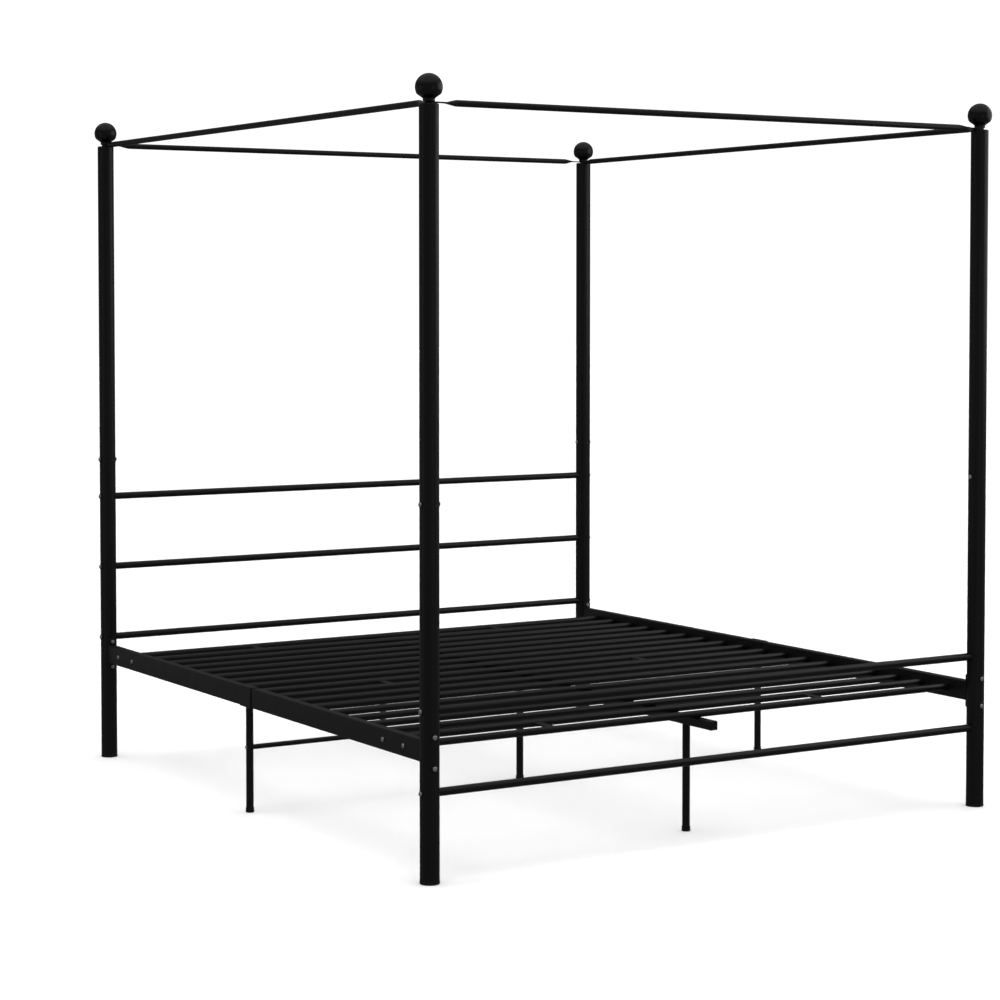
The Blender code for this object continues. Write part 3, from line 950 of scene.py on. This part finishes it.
def thread(builder, matrix):
    """The end of a bolt with a real screw thread and a tapered tip."""
    steps = int(BOLT_END / THREAD_PITCH * THREAD_STEPS)
    rings = []
    for step in range(steps + 1):
        z = BOLT_END * step / steps
        fade = min(1.0, (BOLT_END - z) / THREAD_FADE)
        ring = []
        for k in range(FASTENER_SIDES):
            share = k / FASTENER_SIDES
            phase = (z / THREAD_PITCH - share) % 1.0
            depth = THREAD_DEPTH * abs(2 * phase - 1)
            local = BOLT_RADIUS - depth - TIP_CUT * (1 - fade)
            angle = 2 * math.pi * share
            ring.append(Vector((local * math.cos(angle), local * math.sin(angle), z)))
        rings.append(ring)
    builder.shell(rings, None, False, matrix)


def hex_nut(builder, matrix):
    """A nut with chamfered corners and a plain hole, since its thread isn't seen."""
    low, high = NUT_LIFT, NUT_LIFT + NUT_HEIGHT
    face, cut = 0.96 * NUT_HALF, 1.10 * NUT_HALF
    full = 1.75 * NUT_CHAMFER
    rings = [
        hexagon(NUT_HALF, low, face), hexagon(NUT_HALF, low + NUT_CHAMFER, cut),
        hexagon(NUT_HALF, low + full), hexagon(NUT_HALF, high - full),
        hexagon(NUT_HALF, high - NUT_CHAMFER, cut), hexagon(NUT_HALF, high, face),
    ]
    for radius, z in ((NUT_BORE + NUT_CHAMFER, high), (NUT_BORE, high - NUT_CHAMFER), (NUT_BORE, low)):
        rings.append(circle(radius, z, FASTENER_SIDES))
    builder.shell(rings, None, True, matrix)


def facing(x, y, z, direction):
    """A matrix whose local z is the direction and whose local y is up."""
    out = Vector(direction).normalized()
    up = Vector((0, 0, 1))
    across = up.cross(out)
    turn = Matrix((across, up, out)).transposed().to_4x4()
    return at(x, y, z, turn)


def head_on_post(name, x, y, z, direction):
    """A button head on a black saddle washer, on the round side of a post."""
    out = Vector(direction)
    matrix = facing(x + out.x * POST_RADIUS, y + out.y * POST_RADIUS, z, direction)
    washer = Builder()
    saddle_washer(washer, matrix, POST_RADIUS, WASHER_LIFT, WASHER_RADIUS)
    piece(f"{name}_washer", washer, WASHER, "glide_plastic")
    head = Builder()
    button_head(head, matrix @ Matrix.Translation((0, 0, WASHER_LIFT)))
    shank = [circle(BOLT_RADIUS, depth, FASTENER_SIDES) for depth in (-SHANK_LENGTH, WASHER_LIFT)]
    head.shell(shank, None, False, matrix)
    piece(f"{name}_head", head, STEEL, "fastener_steel")


def make_post_screws():
    for end, y_sign in ENDS.items():
        bars = [node for node in CAD_NODES if node.startswith(f"{end}_bar_")]
        for side, x_sign in SIDES.items():
            x, y = x_sign * POST_X, y_sign * POST_Y
            for node in bars:
                label = node.split("_")[-1]
                head_on_post(f"bar_screw_{end}_{side}_{label}", x, y, middle(node).z, (x_sign, 0, 0))
            for facing_name, way in (("outer", x_sign), ("inner", -x_sign)):
                head_on_post(f"joint_screw_{end}_{side}_{facing_name}", x, y, JOINT_Z, (way, 0, 0))


def make_rail_bolts():
    """Two bolts through each post into the rail's end plate, with a nut on the plate."""
    for end, y_sign in ENDS.items():
        for side, x_sign in SIDES.items():
            x, y = x_sign * POST_X, y_sign * POST_Y
            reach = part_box(f"side_rail_{side}_{end}")
            plate_back = (max(abs(reach[0].y), abs(reach[1].y)) - PLATE_THICKNESS) * y_sign
            for label, offset in (("upper", PLATE_BOLT_OFFSET), ("lower", -PLATE_BOLT_OFFSET)):
                name = f"rail_bolt_{end}_{side}_{label}"
                head_on_post(name, x, y, RAIL_Z + offset, (0, y_sign, 0))
                matrix = facing(x, plate_back, RAIL_Z + offset, (0, -y_sign, 0))
                washer = Builder()
                saddle_washer(washer, matrix, None, NUT_WASHER_LIFT, NUT_WASHER_RADIUS)
                piece(f"{name}_nut_washer", washer, WASHER, "glide_plastic")
                nut = Builder()
                hex_nut(nut, matrix)
                thread(nut, matrix)
                piece(f"{name}_nut", nut, STEEL, "fastener_steel")


def make_slat_bolts():
    """Bolts through the rails into the two slats nearest each end."""
    for end in ENDS:
        low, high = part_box(f"slat_pair_{end}")
        rows = {"near": low.y + SLAT_RADIUS, "far": high.y - SLAT_RADIUS}
        for side, x_sign in SIDES.items():
            for label, y in rows.items():
                name = f"slat_bolt_{end}_{side}_{label}"
                matrix = facing(x_sign * (POST_X + RAIL_WIDTH / 2), y, RAIL_Z, (x_sign, 0, 0))
                washer = Builder()
                saddle_washer(washer, matrix, None, SLAT_WASHER_LIFT, SLAT_WASHER_RADIUS)
                piece(f"{name}_washer", washer, WASHER, "glide_plastic")
                head = Builder()
                button_head(head, matrix @ Matrix.Translation((0, 0, SLAT_WASHER_LIFT)))
                piece(f"{name}_head", head, STEEL, "fastener_steel")


def make_leg_screws():
    """A small screw through each side leg into its stretcher."""
    radius = size("side_leg_left").x / 2
    for side, x_sign in SIDES.items():
        z = middle(f"stretcher_{side}").z
        matrix = facing(x_sign * (POST_X + radius - LEG_SCREW_BITE), 0, z, (x_sign, 0, 0))
        head = Builder()
        button_head(head, matrix, LEG_SCREW_SCALE)
        piece(f"stretcher_screw_{side}_head", head, STEEL, "fastener_steel")


# ---------------------------------------------------------------- stage, light and camera

CAMERA_PLACE = (-3.9813, -6.3133, 1.4541)
CAMERA_YAW = 0.5546
CAMERA_PITCH = -0.0406
CAMERA_LENS = 89.311
CAMERA_SHIFT = -0.10
CAMERA_SENSOR = 36
CAMERA_REACH = 200
FLOOR_HALF = 60
FLOOR_LIGHT = 3.55
FLOOR_LIGHT_SPREAD = math.radians(75)
BACKDROP_RADIANCE = 1.1
# How bright the surroundings are at each height, from straight down (-1) to straight up (1).
SKY = ((-0.20, 0.10), (0.0, 0.155), (0.12, 0.085), (0.34, 0.085), (0.80, 0.41))
# Each softbox: its name, place, target, width, height and radiance.
PANELS = (
    ("right_panel", (3.0, -1.75, 2.45), (0, -1.2, 2.45), 4.2, 2.4, 0.62),
    ("right_front_strip", (-0.2, -5.6, 1.1), (-0.6, 0, 1.1), 0.7, 2.4, 0.35),
    ("left_strip", (-5.2, 0.3, 1.2), (-0.9, -0.4, 1.2), 0.8, 2.4, 0.35),
)


def make_camera():
    data = bpy.data.cameras.new("camera")
    data.sensor_width = CAMERA_SENSOR
    data.lens = CAMERA_LENS
    data.shift_y = CAMERA_SHIFT
    data.clip_end = CAMERA_REACH
    camera = bpy.data.objects.new("camera", data)
    camera.location = CAMERA_PLACE
    camera.rotation_euler = (math.pi / 2 + CAMERA_PITCH, 0, -CAMERA_YAW)
    bpy.context.scene.collection.objects.link(camera)
    bpy.context.scene.camera = camera


def floor_material():
    g = Graph("pale_floor")
    tone = g.noise(1.3, 3.0, 0.5)
    color = g.ramp(tone, [(0.3, (0.87, 0.87, 0.87)), (0.7, (0.89, 0.89, 0.89))])
    roughness = g.span(g.noise(8.0, 3.0, 0.5), 0.3, 0.7, 0.75, 0.85)
    normal = g.bumped(g.noise(90.0, 2.0, 0.5), 0.0002, 0.3)
    return g.finish(color, roughness, normal)


def stage_object(name, mesh):
    obj = bpy.data.objects.new(name, mesh)
    bpy.context.scene.collection.objects.link(obj)
    obj.visible_glossy = False
    return obj


def make_floor():
    half = FLOOR_HALF
    mesh = bpy.data.meshes.new("floor")
    corners = [(-half, -half, 0), (half, -half, 0), (half, half, 0), (-half, half, 0)]
    mesh.from_pydata(corners, [], [(0, 1, 2, 3)])
    mesh.materials.append(floor_material())
    return stage_object("floor", mesh)


def glowing(name, strength):
    material = bpy.data.materials.new(name)
    material.use_nodes = True
    tree = material.node_tree
    tree.nodes.remove(tree.nodes["Principled BSDF"])
    glow = tree.nodes.new("ShaderNodeEmission")
    glow.inputs["Strength"].default_value = strength
    tree.links.new(glow.outputs[0], tree.nodes["Material Output"].inputs["Surface"])
    return material


def make_backdrop():
    """A large dome that only the camera sees, so that the white surroundings aren't mirrored in the coat."""
    bm = bmesh.new()
    bmesh.ops.create_uvsphere(bm, u_segments=48, v_segments=24, radius=2 * FLOOR_HALF)
    mesh = bpy.data.meshes.new("backdrop")
    bm.to_mesh(mesh)
    bm.free()
    mesh.materials.append(glowing("white_backdrop", BACKDROP_RADIANCE))
    dome = stage_object("backdrop", mesh)
    dome.visible_diffuse = False
    dome.visible_transmission = False
    dome.visible_shadow = False


def panel(name, place, target, width, height, radiance):
    """A softbox of even brightness. Its power follows from its area and from the radiance a mirror shows."""
    data = bpy.data.lights.new(name, "AREA")
    data.shape = "RECTANGLE"
    data.size = width
    data.size_y = height
    data.energy = radiance * math.pi * width * height
    obj = bpy.data.objects.new(name, data)
    obj.location = place
    obj.rotation_euler = (Vector(target) - Vector(place)).to_track_quat("-Z", "Y").to_euler()
    obj.visible_camera = False
    bpy.context.scene.collection.objects.link(obj)


def make_studio_world():
    """Soft surroundings that follow SKY, with a faint glow at the horizon and a broad pale ceiling."""
    world = bpy.data.worlds.new("studio")
    bpy.context.scene.world = world
    world.use_nodes = True
    tree = world.node_tree
    direction = tree.nodes.new("ShaderNodeTexCoord").outputs["Generated"]
    split = tree.nodes.new("ShaderNodeSeparateXYZ")
    tree.links.new(direction, split.inputs[0])
    height = tree.nodes.new("ShaderNodeMapRange")
    height.inputs["From Min"].default_value = -1
    tree.links.new(split.outputs["Z"], height.inputs["Value"])
    sky = tree.nodes.new("ShaderNodeValToRGB")
    sky.color_ramp.interpolation = "EASE"
    elements = sky.color_ramp.elements
    while len(elements) < len(SKY):
        elements.new(1.0)
    for element, (level, radiance) in zip(elements, SKY):
        element.position = (level + 1) / 2
        element.color = (radiance, radiance, radiance, 1)
    tree.links.new(height.outputs["Result"], sky.inputs["Fac"])
    tree.links.new(sky.outputs["Color"], tree.nodes["Background"].inputs["Color"])


def only_for(light, receiver):
    """The light shines on one object only."""
    group = bpy.data.collections.new(f"{light.name}_receivers")
    group.objects.link(receiver)
    light.light_linking.receiver_collection = group


def make_floor_light(floor):
    data = bpy.data.lights.new("floor_light", "SUN")
    data.energy = FLOOR_LIGHT
    data.angle = FLOOR_LIGHT_SPREAD
    obj = bpy.data.objects.new("floor_light", data)
    bpy.context.scene.collection.objects.link(obj)
    only_for(obj, floor)


def make_light():
    make_studio_world()
    floor = make_floor()
    floor.visible_diffuse = False
    make_backdrop()
    make_floor_light(floor)
    for settings in PANELS:
        panel(*settings)
    display = bpy.context.scene.view_settings
    display.view_transform = "Standard"
    display.look = "None"


make_posts()
make_canopy_rods()
make_end_bars()
make_side_rails()
make_slats()
make_centre_support()
make_glides()
make_post_screws()
make_rail_bolts()
make_slat_bolts()
make_leg_screws()
make_camera()
make_light()
